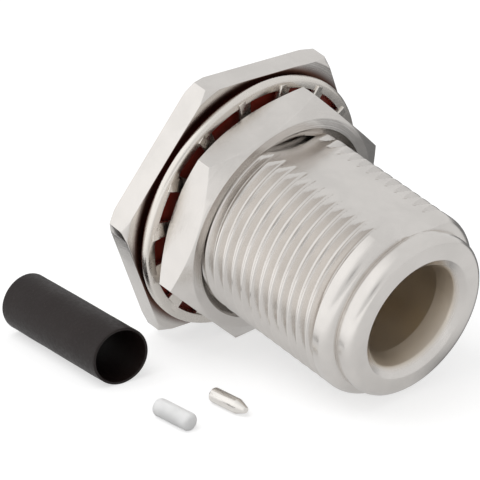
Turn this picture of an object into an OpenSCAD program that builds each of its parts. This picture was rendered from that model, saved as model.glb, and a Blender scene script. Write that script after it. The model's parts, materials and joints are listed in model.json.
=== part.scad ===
// Bulkhead N type coaxial jack with its nut, washer and gasket, and the loose parts of its cable end.
// The connector lies at rest. +Z is up and +X is the level direction its nose points in.
// The origin is on the connector's axis, in the plane of the flange face that seats on a panel.

/* [View] */
// Sub-part to draw, or all of them

/* [Flange] */
// Width of the flange hexagon across its flats, 7/8 inch
flange_flats = 22.225; // [22:0.1:24]
// Thickness of the flange
flange_thickness = 2.0; // [1.8:0.1:3]
// How far the corner chamfer starts inside the hexagon's corners
flange_chamfer_in = 0.58; // [0.3:0.05:0.9]

/* [Barrel] */
// Outside diameter of the threaded barrel, 5/8 inch
thread_major = 15.875; // [15.5:0.025:16.2]
// Distance from one thread to the next, 24 threads per inch
thread_pitch = 1.0583; // [1:0.01:1.2]
// Depth of the thread
thread_depth = 0.57; // [0.4:0.01:0.62]
// Distance from the foremost groove to the barrel's rounded end
thread_runout = 1.3; // [1.1:0.05:1.6]
// Distance from the seat to the start of the barrel's rounded end
barrel_length = 17.35; // [16.5:0.05:18]
// Radius of the rounded end of the barrel
barrel_round = 1.05; // [1:0.05:1.2]

/* [Nose] */
// Outside diameter of the plain ring at the front
nose_diameter = 14.0; // [13.9:0.05:14.2]
// Distance from the seat to the front face
nose_front = 20.1; // [19.8:0.05:20.6]
// Radius of the front ring's outer edge
nose_round = 0.8; // [0.4:0.05:1]

/* [Plug socket] */
// Diameter of the socket's straight bore
socket_bore = 8.14; // [7.9:0.02:8.3]
// Diameter of the socket where its taper ends
socket_mouth = 8.96; // [8.7:0.02:9.1]
// Diameter of the socket at the front face
socket_flare = 10.5; // [10:0.05:11]
// Length of the flare behind the front face
flare_length = 0.6; // [0.4:0.05:0.9]
// Length of the taper behind the flare
taper_length = 1.6; // [1:0.1:2.4]
// Distance from the seat to the floor of the socket
socket_floor = 11.0; // [10.4:0.1:12]

/* [Line through the body] */
// Diameter of the bore that the front insulator fills
line_bore = 7.0; // [6.8:0.05:7.2]
// Diameter of the rear chamber
chamber_bore = 8.6; // [8.3:0.05:9]
// Distance from the seat to the step at the chamber's front
chamber_step = 6.0; // [5.6:0.1:6.6]
// Room between each insulator and the bore around it
insulator_play = 0.03; // [0.02:0.01:0.06]

/* [Centre contact] */
// Diameter of the slotted contact
contact_diameter = 3.04; // [2.9:0.02:3.1]
// Distance from the seat to the contact's tip
contact_tip = 15.9; // [15.5:0.05:16.4]
// Diameter of the pin hole in the tip
contact_hole = 1.66; // [1.6:0.02:1.76]
// Depth of the pin hole in the tip
contact_hole_depth = 5.5; // [5.3:0.1:6]
// Width of the contact's slots
slot_width = 0.35; // [0.25:0.05:0.45]
// Length of the contact's slots
slot_length = 4.7; // [4:0.1:5.2]
// Chamfer around the contact's tip
tip_chamfer = 0.3; // [0.15:0.05:0.4]
// Diameter of the shoulder that holds the contact in the insulators
shoulder_diameter = 4.2; // [3.8:0.1:4.8]
// Thickness of that shoulder
shoulder_thickness = 0.8; // [0.6:0.1:1.2]
// Diameter of the contact's tail
tail_diameter = 2.2; // [2.1:0.05:2.4]
// Distance from the seat to the end of the tail
tail_end = 1.5; // [1.2:0.1:1.8]
// Depth of the tail's socket for the cable pin
tail_hole_depth = 2.4; // [2:0.1:2.8]
// Room around the contact in the insulators
contact_play = 0.02; // [0.01:0.01:0.05]
// Room around the cable pin in the tail's socket
pin_play = 0.035; // [0.02:0.005:0.06]

/* [Insulators] */
// Distance from the seat to the joint between the two insulators
insulator_joint = 4.5; // [4.2:0.1:5]
// Distance from the seat to the rear insulator's back
insulator_back = 1.0; // [0.8:0.1:1.1]

/* [Cable ferrule] */
// Diameter of the neck behind the flange
neck_diameter = 4.0; // [3.8:0.05:4.1]
// Length of the neck behind the flange
neck_length = 5.0; // [4:0.1:6]
// Diameter of the cable hole
cable_hole = 2.8; // [2.6:0.05:3]
// Chamfer around the neck's end
neck_chamfer = 0.25; // [0.1:0.05:0.35]

/* [Gasket] */
// How far the gasket's edge lies inside the washer's
gasket_inset = 0.7; // [0.3:0.05:0.8]
// Thickness of the gasket
gasket_thickness = 0.3; // [0.2:0.05:0.5]
// Room between the gasket and the barrel
gasket_play = 0.1; // [0.05:0.01:0.3]

/* [Lock washer] */
// How far the washer's edge lies inside the flange's flats
washer_inset = 0.0125; // [0:0.0125:0.3]
// Width of the washer's ring
washer_ring = 0.9; // [0.7:0.05:1.1]
// Thickness of the washer's ring
washer_thickness = 0.8; // [0.7:0.05:0.9]
// Thickness of a tooth
tooth_thickness = 0.5; // [0.4:0.02:0.54]
// Width of a tooth where it leaves the ring
tooth_root = 2.2; // [1.9:0.05:2.3]
// Width of a tooth at its tip
tooth_tip = 1.6; // [1.2:0.05:1.8]
// Angle by which each tooth is twisted
tooth_twist = 14; // [10:0.5:14.5]
// Number of teeth
tooth_count = 15; // [12:1:16]
// Room between the teeth and the barrel
tooth_play = 0.21; // [0.1:0.01:0.4]
// How far the teeth stand proud of the ring, which is where the nut bears
tooth_rise = 0.3; // [0.3:0.02:0.5]

/* [Nut] */
// Width of the nut across its flats, 3/4 inch
nut_flats = 19.05; // [18.6:0.05:19.6]
// Thickness of the nut
nut_thickness = 3.2; // [3:0.1:3.6]
// Diameter of the circle where the nut's chamfers meet its faces
nut_face = 18.7; // [18.4:0.05:18.8]
// Turn of the nut's corners from the flange's corners
nut_clock = 21.4; // [19:0.1:23]
// Running clearance of the nut around the barrel
nut_play = 0.05; // [0.03:0.01:0.08]
// Width of the chamfer at each end of the nut's hole
nut_sink = 0.5; // [0.3:0.05:0.7]

/* [Cable pin] */
// Diameter of the cable pin
pin_diameter = 1.22; // [1.15:0.01:1.3]
// Length of the cable pin
pin_length = 3.75; // [3.4:0.05:4.2]
// Length of the pin's tapered point
pin_point = 1.0; // [0.7:0.05:1.4]
// Diameter of the point's blunt end
pin_point_end = 0.5; // [0.3:0.05:0.7]
// Chamfer around the pin's back end
pin_back_chamfer = 0.12; // [0.05:0.01:0.2]
// Distance of the cable pin in front of the seat along X
pin_x = 10.35; // [9.8:0.05:12]
// Distance of the cable pin from the axis along Y
pin_y = -11.05; // [-12:0.05:-10.6]
// Turn of the cable pin about the vertical
pin_turn = 0; // [-4:1:4]

/* [Cable insulator] */
// Diameter of the cable insulator
bead_diameter = 1.48; // [1.4:0.02:1.6]
// Length of the cable insulator
bead_length = 3.95; // [3.6:0.05:4.3]
// Radius of its rounded ends
bead_round = 0.55; // [0.3:0.05:0.65]
// Distance of the cable insulator in front of the seat along X
bead_x = 9.1; // [8.6:0.05:10.5]
// Distance of the cable insulator from the axis along Y
bead_y = -15.65; // [-17:0.05:-15]
// Turn of the cable insulator about the vertical
bead_turn = 0; // [-4:1:4]

/* [Shrink sleeve] */
// Outside diameter of the sleeve
sleeve_diameter = 4.82; // [4.6:0.02:5]
// Room between the sleeve and the ferrule's neck
sleeve_play = 0.2; // [0.1:0.01:0.22]
// Length of the sleeve
sleeve_length = 12.8; // [12:0.1:14]
// Angle by which the sleeve's front end is cut askew
sleeve_cut = 7.5; // [0.5:0.5:10]
// Distance of the sleeve's front end from the seat along X
sleeve_x = 1.3; // [0.8:0.05:2]
// Distance of the sleeve's front end from the axis along Y
sleeve_y = -14.3; // [-15:0.05:-14]
// Turn of the sleeve about the vertical
sleeve_turn = -4.4; // [-6:0.1:-2]

/* [Hidden] */
$fn = 96;
// Slope of the chamfers on the flange and the nut
chamfer_slope = 30;
// Rise of a chamfer for each millimetre it goes inwards
chamfer_rise = tan(chamfer_slope);
// How far cutting shapes run past the faces they cut
past = 0.5;
// How far the chamfering cone runs past a hexagon's corners
corner_room = 0.2;

barrel_r = thread_major / 2;
nose_r = nose_diameter / 2;
barrel_core_r = barrel_r - barrel_round;
flange_corner_r = flange_flats / 2 / cos(30);
flange_face_r = flange_corner_r - flange_chamfer_in;
nut_corner_r = nut_flats / 2 / cos(30);
thread_front = barrel_length - thread_runout;
thread_grooves = floor((thread_front - flange_chamfer_in) / thread_pitch);
washer_bottom = gasket_thickness;
nut_bottom = washer_bottom + washer_thickness + tooth_rise;
nut_top = nut_bottom + nut_thickness;
washer_r = flange_flats / 2 - washer_inset;
gasket_r = washer_r - gasket_inset;
washer_inner_r = washer_r - washer_ring;
tooth_tip_r = barrel_r + tooth_play;
// The teeth are centred between the gasket and the nut
tooth_middle = (washer_bottom + nut_bottom) / 2;
shoulder_back = insulator_joint - shoulder_thickness;
contact_r = contact_diameter / 2;
tail_r = tail_diameter / 2;
socket_r = socket_bore / 2;
line_r = line_bore / 2;
chamber_r = chamber_bore / 2;
neck_r = neck_diameter / 2;
sleeve_inner_r = neck_r + sleeve_play;

// Rest: the barrel's rounded end, the nut's lowest corner and the flange's lowest corner touch the floor.
// Distances along the axis from each lower corner's point of contact to the barrel's rounded end
nut_touch = barrel_length - (nut_top - (nut_corner_r - nut_face / 2) * chamfer_rise);
flange_touch = barrel_length + flange_chamfer_in * chamfer_rise;
// Angles of the two corners that touch, around the axis
nut_angle = nut_clock - 60;
flange_angle = 0;

// Reach of the barrel's end towards the floor, at a given tilt
function end_reach(tilt) = barrel_core_r + barrel_round / cos(tilt);
// Turn about the axis at which both corners and the barrel's end share one floor, at a given tilt
function roll_at(tilt) =
    let (across = nut_corner_r * cos(nut_angle) / nut_touch
                - flange_corner_r * cos(flange_angle) / flange_touch,
         along = nut_corner_r * sin(nut_angle) / nut_touch
               - flange_corner_r * sin(flange_angle) / flange_touch,
         reach = end_reach(tilt) * (1 / nut_touch - 1 / flange_touch))
    atan2(along, across) + acos(reach / sqrt(across ^ 2 + along ^ 2));
// Tilt at which the nut's corner touches that floor
function tilt_at(tilt) = atan((nut_corner_r * cos(roll_at(tilt) - nut_angle) - end_reach(tilt)) / nut_touch);
// The two settle on one another within a few steps
function settled(tilt, steps) = steps == 0 ? tilt : settled(tilt_at(tilt), steps - 1);

rest_tilt = settled(11, 12);
rest_roll = roll_at(rest_tilt);
floor_z = -(barrel_length * sin(rest_tilt) + barrel_core_r * cos(rest_tilt) + barrel_round);

echo(rest_tilt = rest_tilt, rest_roll = rest_roll, floor_z = floor_z);

// From the connector's own axis, along +Z, to where it lies
module at_rest() {
    rotate([0, 90 + rest_tilt, 0])
        rotate([0, 0, -rest_roll])
            children();
}

// A long part that lies on the floor, given with its axis along +Z
module on_floor(x, y, turn, radius) {
    translate([x, y, floor_z + radius])
        rotate([0, 90, turn])
            children();
}

// A hexagonal blank with corners along X and chamfers at the ends asked for
module hex_blank(flats, bottom, top, face_r) {
    corner_r = flats / 2 / cos(30);
    reach = corner_r + corner_room;
    drop = (reach - face_r) * chamfer_rise;
    intersection() {
        translate([0, 0, bottom])
            cylinder(h = top - bottom, r = corner_r, $fn = 6);
        rotate_extrude()
            polygon([[0, bottom], [face_r, bottom], [reach, bottom + drop], [reach, top - drop],
                     [face_r, top], [0, top]]);
    }
}

// Barrel and nose, starting inside the flange
module front_turning() {
    rotate_extrude()
        union() {
            translate([0, -flange_thickness / 2])
                square([barrel_r, barrel_length + flange_thickness / 2]);
            translate([barrel_core_r, barrel_length])
                circle(r = barrel_round);
            square([nose_r, nose_front - nose_round]);
            square([nose_r - nose_round, nose_front]);
            translate([nose_r - nose_round, nose_front - nose_round])
                circle(r = nose_round);
        }
}

// Rings of the thread's own section, which stand for its helix
module thread_cut() {
    root_half = thread_pitch / 8;
    mouth_half = thread_pitch * 7 / 16;
    mouth_r = barrel_r + past;
    flare = (mouth_half - root_half) * past / thread_depth;
    for (k = [0 : thread_grooves - 1])
        translate([0, 0, thread_front - k * thread_pitch])
            rotate_extrude()
                polygon([[barrel_r - thread_depth, -root_half], [mouth_r, -mouth_half - flare],
                         [mouth_r, mouth_half + flare], [barrel_r - thread_depth, root_half]]);
}

// The hollow through the body, from the rear chamber to the mouth of the plug socket
module line_bore() {
    taper_end = nose_front - flare_length;
    flare_slope = (socket_flare - socket_mouth) / 2 / flare_length;
    rotate_extrude()
        polygon([[0, -flange_thickness - past], [chamber_r, -flange_thickness - past],
                 [chamber_r, chamber_step], [line_r, chamber_step], [line_r, socket_floor],
                 [socket_r, socket_floor], [socket_r, taper_end - taper_length],
                 [socket_mouth / 2, taper_end], [socket_flare / 2 + flare_slope * past, nose_front + past],
                 [0, nose_front + past]]);
}

// Turned body: hexagonal flange, barrel and nose in one piece
module connector_body() {
    color("Silver")
        at_rest()
            difference() {
                union() {
                    hex_blank(flange_flats, -flange_thickness, 0, flange_face_r);
                    front_turning();
                }
                thread_cut();
                line_bore();
            }
}

// Flat ring between the flange and the washer
module panel_gasket() {
    color("Firebrick")
        at_rest()
            difference() {
                cylinder(h = gasket_thickness, r = gasket_r);
                translate([0, 0, -past])
                    cylinder(h = gasket_thickness + 2 * past, r = barrel_r + gasket_play);
            }
}

// One tooth along +X, twisted about its own middle line
module washer_tooth() {
    root_r = washer_inner_r + washer_ring / 2;
    translate([0, 0, tooth_middle])
        rotate([tooth_twist, 0, 0])
            translate([0, 0, -tooth_thickness / 2])
                linear_extrude(tooth_thickness)
                    polygon([[tooth_tip_r, -tooth_tip / 2], [root_r, -tooth_root / 2],
                             [root_r, tooth_root / 2], [tooth_tip_r, tooth_tip / 2]]);
}

// Ring with twisted teeth on its inside
module lock_washer() {
    color("Gainsboro")
        at_rest() {
            translate([0, 0, washer_bottom])
                difference() {
                    cylinder(h = washer_thickness, r = washer_r);
                    translate([0, 0, -past])
                        cylinder(h = washer_thickness + 2 * past, r = washer_inner_r);
                }
            for (k = [0 : tooth_count - 1])
                rotate([0, 0, k * 360 / tooth_count])
                    washer_tooth();
        }
}

// Hexagonal nut, chamfered outside and inside at both faces
module hex_nut() {
    hole_r = barrel_r + nut_play;
    color("Gainsboro")
        at_rest()
            difference() {
                rotate([0, 0, nut_clock])
                    hex_blank(nut_flats, nut_bottom, nut_top, nut_face / 2);
                rotate_extrude()
                    polygon([[0, nut_bottom - past], [hole_r + nut_sink + past, nut_bottom - past],
                             [hole_r, nut_bottom + nut_sink], [hole_r, nut_top - nut_sink],
                             [hole_r + nut_sink + past, nut_top + past], [0, nut_top + past]]);
            }
}

// Spring contact: slotted tip, shoulder and a tail with a socket for the cable pin
module center_contact() {
    color("Gold")
        at_rest()
            difference() {
                rotate_extrude()
                    polygon([[0, tail_end], [tail_r, tail_end], [tail_r, shoulder_back],
                             [shoulder_diameter / 2, shoulder_back], [shoulder_diameter / 2, insulator_joint],
                             [contact_r, insulator_joint], [contact_r, contact_tip - tip_chamfer],
                             [contact_r - tip_chamfer, contact_tip], [0, contact_tip]]);
                translate([0, 0, contact_tip - contact_hole_depth])
                    cylinder(h = contact_hole_depth + past, d = contact_hole);
                translate([0, 0, tail_end - past])
                    cylinder(h = tail_hole_depth + past, d = pin_diameter + 2 * pin_play);
                for (turn = [0, 90])
                    rotate([0, 0, turn])
                        translate([-contact_diameter, -slot_width / 2, contact_tip - slot_length])
                            cube([2 * contact_diameter, slot_width, slot_length + past]);
            }
}

// Stepped insulator whose front face is the floor of the plug socket
module front_insulator() {
    color("White")
        at_rest()
            difference() {
                union() {
                    translate([0, 0, insulator_joint])
                        cylinder(h = chamber_step - insulator_joint, r = chamber_r - insulator_play);
                    translate([0, 0, insulator_joint])
                        cylinder(h = socket_floor - insulator_joint, r = line_r - insulator_play);
                }
                translate([0, 0, insulator_joint - past])
                    cylinder(h = socket_floor - insulator_joint + 2 * past, r = contact_r + contact_play);
            }
}

// Insulator behind the shoulder of the contact
module rear_insulator() {
    color("White")
        at_rest()
            difference() {
                translate([0, 0, insulator_back])
                    cylinder(h = insulator_joint - insulator_back, r = chamber_r - insulator_play);
                translate([0, 0, insulator_back - past])
                    cylinder(h = insulator_joint - insulator_back, r = tail_r + contact_play);
                translate([0, 0, shoulder_back])
                    cylinder(h = shoulder_thickness + past, r = shoulder_diameter / 2 + contact_play);
            }
}

// Turned ferrule pressed into the back of the body, with a neck for the cable's braid
module cable_ferrule() {
    neck_end = -flange_thickness - neck_length;
    head_r = chamber_r - insulator_play;
    color("Silver")
        at_rest()
            difference() {
                rotate_extrude()
                    polygon([[0, insulator_back], [head_r, insulator_back], [head_r, -flange_thickness],
                             [neck_r, -flange_thickness], [neck_r, neck_end + neck_chamfer],
                             [neck_r - neck_chamfer, neck_end], [0, neck_end]]);
                translate([0, 0, neck_end - past])
                    cylinder(h = insulator_back - neck_end + 2 * past, d = cable_hole);
            }
}

// Pin for the cable's centre wire, with a tapered point
module cable_pin() {
    pin_r = pin_diameter / 2;
    back = -pin_length / 2;
    front = pin_length / 2;
    color("Gainsboro")
        on_floor(pin_x, pin_y, pin_turn, pin_r)
            rotate_extrude()
                polygon([[0, back], [pin_r - pin_back_chamfer, back], [pin_r, back + pin_back_chamfer],
                         [pin_r, front - pin_point], [pin_point_end / 2, front], [0, front]]);
}

// Small solid insulator with rounded ends
module cable_insulator() {
    bead_r = bead_diameter / 2;
    inner_r = bead_r - bead_round;
    inner_end = bead_length / 2 - bead_round;
    color("WhiteSmoke")
        on_floor(bead_x, bead_y, bead_turn, bead_r)
            rotate_extrude()
                intersection() {
                    union() {
                        translate([0, -bead_length / 2])
                            square([inner_r, bead_length]);
                        translate([0, -inner_end])
                            square([bead_r, 2 * inner_end]);
                        for (side = [-1, 1])
                            translate([inner_r, side * inner_end])
                                circle(r = bead_round);
                    }
                    translate([0, -bead_length])
                        square([bead_r, 2 * bead_length]);
                }
}

// Heat-shrink sleeve, open at both ends, its front end cut askew
module shrink_sleeve() {
    color("DimGray")
        on_floor(sleeve_x, sleeve_y, sleeve_turn, sleeve_diameter / 2)
            difference() {
                translate([0, 0, -sleeve_length])
                    cylinder(h = sleeve_length + past, d = sleeve_diameter);
                translate([0, 0, -sleeve_length - past])
                    cylinder(h = sleeve_length + 3 * past, r = sleeve_inner_r);
                rotate([sleeve_cut, 0, 0])
                    translate([-sleeve_diameter, -sleeve_diameter, 0])
                        cube([2 * sleeve_diameter, 2 * sleeve_diameter, sleeve_diameter]);
            }
}

connector_body();
panel_gasket();
lock_washer();
hex_nut();
center_contact();
front_insulator();
rear_insulator();
cable_ferrule();
cable_pin();
cable_insulator();
shrink_sleeve();
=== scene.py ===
"""Looks of a bulkhead coaxial jack and the loose parts of its cable end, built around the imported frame."""

import json
from math import acos, asin, ceil, cos, degrees, hypot, pi, radians, sin, tan

import bmesh
import bpy
from bpy.props import FloatProperty, FloatVectorProperty, IntProperty, PointerProperty
from mathutils import Matrix, Vector, noise
from mathutils.geometry import tessellate_polygon


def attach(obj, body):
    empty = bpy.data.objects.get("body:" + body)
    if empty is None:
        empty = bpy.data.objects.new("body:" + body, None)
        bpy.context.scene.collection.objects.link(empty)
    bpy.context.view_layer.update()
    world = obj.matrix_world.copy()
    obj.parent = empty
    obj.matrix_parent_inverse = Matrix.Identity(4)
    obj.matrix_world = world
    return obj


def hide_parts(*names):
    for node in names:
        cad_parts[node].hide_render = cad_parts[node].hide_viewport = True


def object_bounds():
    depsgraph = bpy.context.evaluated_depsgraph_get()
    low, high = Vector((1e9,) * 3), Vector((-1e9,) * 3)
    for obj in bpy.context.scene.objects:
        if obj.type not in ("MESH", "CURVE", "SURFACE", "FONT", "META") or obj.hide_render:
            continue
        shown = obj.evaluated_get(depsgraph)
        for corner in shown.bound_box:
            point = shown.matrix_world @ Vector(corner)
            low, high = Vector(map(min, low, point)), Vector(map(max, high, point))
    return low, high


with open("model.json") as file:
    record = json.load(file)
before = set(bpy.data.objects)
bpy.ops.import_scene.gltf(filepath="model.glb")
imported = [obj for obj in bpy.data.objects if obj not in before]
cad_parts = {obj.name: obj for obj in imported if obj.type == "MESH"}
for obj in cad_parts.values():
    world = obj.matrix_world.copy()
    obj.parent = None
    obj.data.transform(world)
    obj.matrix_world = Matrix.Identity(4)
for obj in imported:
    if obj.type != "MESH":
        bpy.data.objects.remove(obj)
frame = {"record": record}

bl_info = {
    "name": "Bulkhead coaxial jack",
    "version": (1, 0, 0),
    "blender": (4, 5, 0),
    "location": "View3D > Sidebar > Coaxial jack",
    "description": "A threaded bulkhead jack with its nut, washer, gasket and loose cable parts",
    "category": "Object",
}

MM = 0.001
CAD_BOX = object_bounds()
RECORD = frame["record"]
MOUNTS = {mount["name"]: mount for mount in RECORD["mounts"]}
AXIS = Vector(MOUNTS["panel_seat"]["axis"]).normalized()
BARREL_R = MOUNTS["coupling_thread"]["dims"]["r_mm"]
PITCH = RECORD["behaviour"]["couplings"][0]["ratio"] * 2 * pi / MM
FLOOR_Z = CAD_BOX[0][2]
# Thread form: half the crest's and the root's place as shares of the pitch, and the rows of its mesh
CREST_SHARE = 1 / 16
ROOT_SHARE = 6 / 16
ROWS_PER_TURN = 14


# ---------------------------------------------------------------- properties


def length(name, text, value):
    """A length in millimetres."""
    return FloatProperty(name=name, description=text, default=value, unit="NONE", precision=3)


def bearing(name, text, value):
    """An angle, given in degrees."""
    return FloatProperty(name=name, description=text, default=radians(value), subtype="ANGLE")


def metres(name, text, value):
    """A length in metres."""
    return FloatProperty(name=name, description=text, default=value, unit="LENGTH")


def brightness(name, text, value):
    """A brightness."""
    return FloatProperty(name=name, description=text, default=value, min=0)


def number_of(name, text, value):
    """A whole number."""
    return IntProperty(name=name, description=text, default=value, min=2)


def floor_spot(name, text, value):
    """A place on the floor in millimetres."""
    return FloatVectorProperty(name=name, description=text, default=value, size=2)


def colour(name, text, value):
    """A linear colour."""
    return FloatVectorProperty(name=name, description=text, default=value, subtype="COLOR", min=0, max=1, size=3)


class JackSizes(bpy.types.PropertyGroup):
    """Sizes of the jack in millimetres, along its own axis from the panel seat"""

    roll: bearing("Roll", "Turn of the flange's corners about the axis", -25.9519)
    steps: number_of("Steps", "Steps round each turned surface", 288)
    edge: length("Edge", "Rounding of the turned and milled edges", 0.06)
    flange_flats: length("Flange flats", "Width of the flange across its flats", 22.225)
    flange_thickness: length("Flange thickness", "Thickness of the flange", 2.0)
    flange_face: length("Flange face", "Radius where the flange's chamfers meet its faces", 12.2516)
    barrel_length: length("Barrel length", "Seat to the start of the barrel's rounded end", 17.35)
    barrel_round: length("Barrel round", "Radius of the barrel's rounded end", 1.05)
    groove_width: length("Groove width", "Width of the groove behind the front ring", 0.2)
    groove_depth: length("Groove depth", "Depth of the groove behind the front ring", 0.06)
    nose_r: length("Nose radius", "Radius of the plain front ring", 7.0)
    nose_front: length("Nose front", "Seat to the front face", 20.1)
    nose_round: length("Nose round", "Radius of the front ring's outer edge", 0.8)
    flare_r: length("Flare", "Radius of the plug socket at the front face", 5.25)
    flare_length: length("Flare length", "Length of the flare behind the front face", 0.6)
    mouth_r: length("Mouth", "Radius of the plug socket where its taper ends", 4.48)
    taper_length: length("Taper length", "Length of the taper behind the flare", 1.6)
    socket_r: length("Socket bore", "Radius of the plug socket's straight bore", 4.07)
    socket_floor: length("Socket floor", "Seat to the floor of the plug socket", 11.0)
    line_r: length("Line bore", "Radius of the bore that the front insulator fills", 3.5)
    chamber_r: length("Chamber bore", "Radius of the rear chamber", 4.3)
    chamber_step: length("Chamber step", "Seat to the step at the rear chamber's front", 6.0)
    root_r: length("Thread root", "Radius at the root of the thread", 7.365)
    thread_start: length("Thread start", "Seat to the start of the thread", 0.35)
    thread_end: length("Thread end", "Seat to the last thread's end", 16.85)
    thread_fade: length("Thread fade", "Length over which the thread runs out", 0.5)
    crest_soften: length("Crest soften", "How far the crest's edges are rubbed down", 0.03)
    crest_turn: bearing("Crest turn", "Where round the barrel the last crest passes its reference height", 202.45)
    crest_height: length("Crest height", "Reference height of the last crest", 16.57)
    flat_distance: length("Flat distance", "Distance of the barrel's milled flat from the axis", 6.98)
    flat_turn: bearing("Flat turn", "Direction that the barrel's flat faces", 150)


class NutSizes(bpy.types.PropertyGroup):
    """Sizes of the nut, the washer and the gasket in millimetres"""

    nut_flats: length("Nut flats", "Width of the nut across its flats", 19.05)
    nut_bottom: length("Nut bottom", "Seat to the nut's rear face", 1.4)
    nut_thickness: length("Nut thickness", "Thickness of the nut", 3.2)
    nut_face: length("Nut face", "Radius where the nut's chamfers meet its faces", 9.35)
    nut_clock: bearing("Nut turn", "Turn of the nut's corners from the flange's", 21.4)
    nut_sink: length("Nut sink", "Width of the chamfer round the nut's hole", 0.5)
    nut_play: length("Nut play", "Room between the nut's thread and the barrel's", 0.05)
    nut_root_play: length("Nut root play", "The same at the thread's root", 0.07)
    nut_fade: length("Nut fade", "Length over which the nut's thread runs out", 0.2)
    washer_bottom: length("Washer bottom", "Seat to the washer's rear face", 0.3)
    washer_r: length("Washer radius", "Outside radius of the washer", 11.1)
    washer_ring: length("Washer ring", "Width of the washer's ring", 0.9)
    washer_thickness: length("Washer thickness", "Thickness of the washer's ring", 0.8)
    washer_round: length("Washer round", "Rounding of the washer's outer edges", 0.32)
    tooth_count: number_of("Teeth", "Number of teeth", 15)
    tooth_tip_r: length("Tooth tip", "Radius that the teeth reach inwards to", 8.1475)
    tooth_root: length("Tooth root", "Width of a tooth at the ring", 1.5)
    tooth_tip: length("Tooth end", "Width of a tooth at its tip", 0.95)
    tooth_thickness: length("Tooth thickness", "Thickness of a tooth", 0.5)
    tooth_twist: bearing("Tooth twist", "Twist of each tooth", 14)
    gasket_r: length("Gasket radius", "Outside radius of the gasket", 10.4)
    gasket_hole: length("Gasket hole", "Radius of the gasket's hole", 8.0375)


class LineSizes(bpy.types.PropertyGroup):
    """Sizes of the contact, the insulators and the ferrule in millimetres, along the jack's axis"""

    steps: number_of("Steps", "Steps round the contact and the insulators", 96)
    contact_r: length("Contact radius", "Radius of the slotted contact", 1.52)
    contact_tip: length("Contact tip", "Seat to the contact's tip", 15.9)
    tip_round: length("Tip round", "Rounding of the contact's tip", 0.34)
    pin_hole_r: length("Pin hole", "Radius of the hole in the contact's tip", 0.83)
    pin_hole_depth: length("Pin hole depth", "Depth of the hole in the contact's tip", 5.5)
    slot_width: length("Slot width", "Width of the slots between the contact's fingers", 0.35)
    slot_length: length("Slot length", "Length of those slots", 4.7)
    fingers: number_of("Fingers", "Number of the contact's fingers", 4)
    shoulder_r: length("Shoulder radius", "Radius of the contact's shoulder", 2.1)
    shoulder_back: length("Shoulder back", "Seat to the back of the contact's shoulder", 3.7)
    joint: length("Joint", "Seat to the joint between the two insulators", 4.5)
    tail_r: length("Tail radius", "Radius of the contact's tail", 1.1)
    tail_end: length("Tail end", "Seat to the end of the contact's tail", 1.5)
    tail_hole_r: length("Tail hole", "Radius of the hole in the contact's tail", 0.645)
    tail_hole_depth: length("Tail hole depth", "Depth of the hole in the contact's tail", 2.4)
    play: length("Contact play", "Room between the contact and the insulators", 0.02)
    chamber_r: length("Chamber radius", "Radius of the pieces in the rear chamber", 4.27)
    line_r: length("Line radius", "Radius of the front insulator's long part", 3.47)
    insulator_back: length("Insulator back", "Seat to the back of the rear insulator", 1.0)
    neck_r: length("Neck radius", "Radius of the ferrule's neck", 2.0)
    neck_length: length("Neck length", "Length of the ferrule's neck", 5.0)
    cable_hole_r: length("Cable hole", "Radius of the ferrule's cable hole", 1.4)
    ribs: number_of("Ribs", "Number of fine ribs round the ferrule's neck", 36)
    rib_depth: length("Rib depth", "Depth of the grooves between those ribs", 0.07)


class LooseSizes(bpy.types.PropertyGroup):
    """Sizes and places of the loose pieces in millimetres"""

    small_steps: number_of("Small steps", "Steps round the pin and the cable insulator", 72)
    sleeve_steps: number_of("Sleeve steps", "Steps round the sleeve", 120)
    sleeve_rows: number_of("Sleeve rows", "Rows along the sleeve", 40)
    pin_r: length("Pin radius", "Radius of the cable pin", 0.61)
    pin_length: length("Pin length", "Length of the cable pin", 3.75)
    pin_point: length("Pin point", "Length of the pin's tapered point", 1.0)
    pin_end_r: length("Pin end", "Radius of the point's blunt end", 0.25)
    pin_place: floor_spot("Pin place", "Middle of the cable pin", (10.35, -11.05))
    bead_r: length("Bead radius", "Radius of the cable insulator", 0.74)
    bead_length: length("Bead length", "Length of the cable insulator", 3.95)
    bead_round: length("Bead round", "Radius of the cable insulator's rounded ends", 0.55)
    bead_place: floor_spot("Bead place", "Middle of the cable insulator", (9.1, -15.65))
    sleeve_r: length("Sleeve radius", "Outside radius of the sleeve", 2.41)
    sleeve_inner_r: length("Sleeve bore", "Inside radius of the sleeve", 2.2)
    sleeve_length: length("Sleeve length", "Length of the sleeve", 12.8)
    sleeve_cut: bearing("Sleeve cut", "Angle by which the sleeve's front end is cut askew", 7.5)
    sleeve_turn: bearing("Sleeve turn", "Turn of the sleeve about the vertical", -4.4)
    sleeve_place: floor_spot("Sleeve place", "Middle of the sleeve's front end", (1.3, -14.3))
    sleeve_waves: length("Sleeve waves", "Height of the unevenness of the sleeve's wall", 0.03)


class FinishColours(bpy.types.PropertyGroup):
    """Colours of the finishes"""

    nickel: colour("Nickel", "Nickel plate on the turned parts", (0.745, 0.715, 0.685))
    washer: colour("Washer", "Nickel plate on the washer", (0.80, 0.76, 0.71))
    gasket: colour("Gasket", "Silicone rubber", (0.30, 0.035, 0.02))
    gold: colour("Gold", "Gold plate on the contact", (0.83, 0.62, 0.30))
    pin: colour("Pin", "Plating of the loose pin", (0.86, 0.83, 0.79))
    white: colour("White", "White insulators", (0.86, 0.86, 0.85))
    bead: colour("Bead", "Loose cable insulator", (0.88, 0.88, 0.875))
    sleeve: colour("Sleeve", "Heat-shrink sleeve", (0.011, 0.0060, 0.0052))


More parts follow.
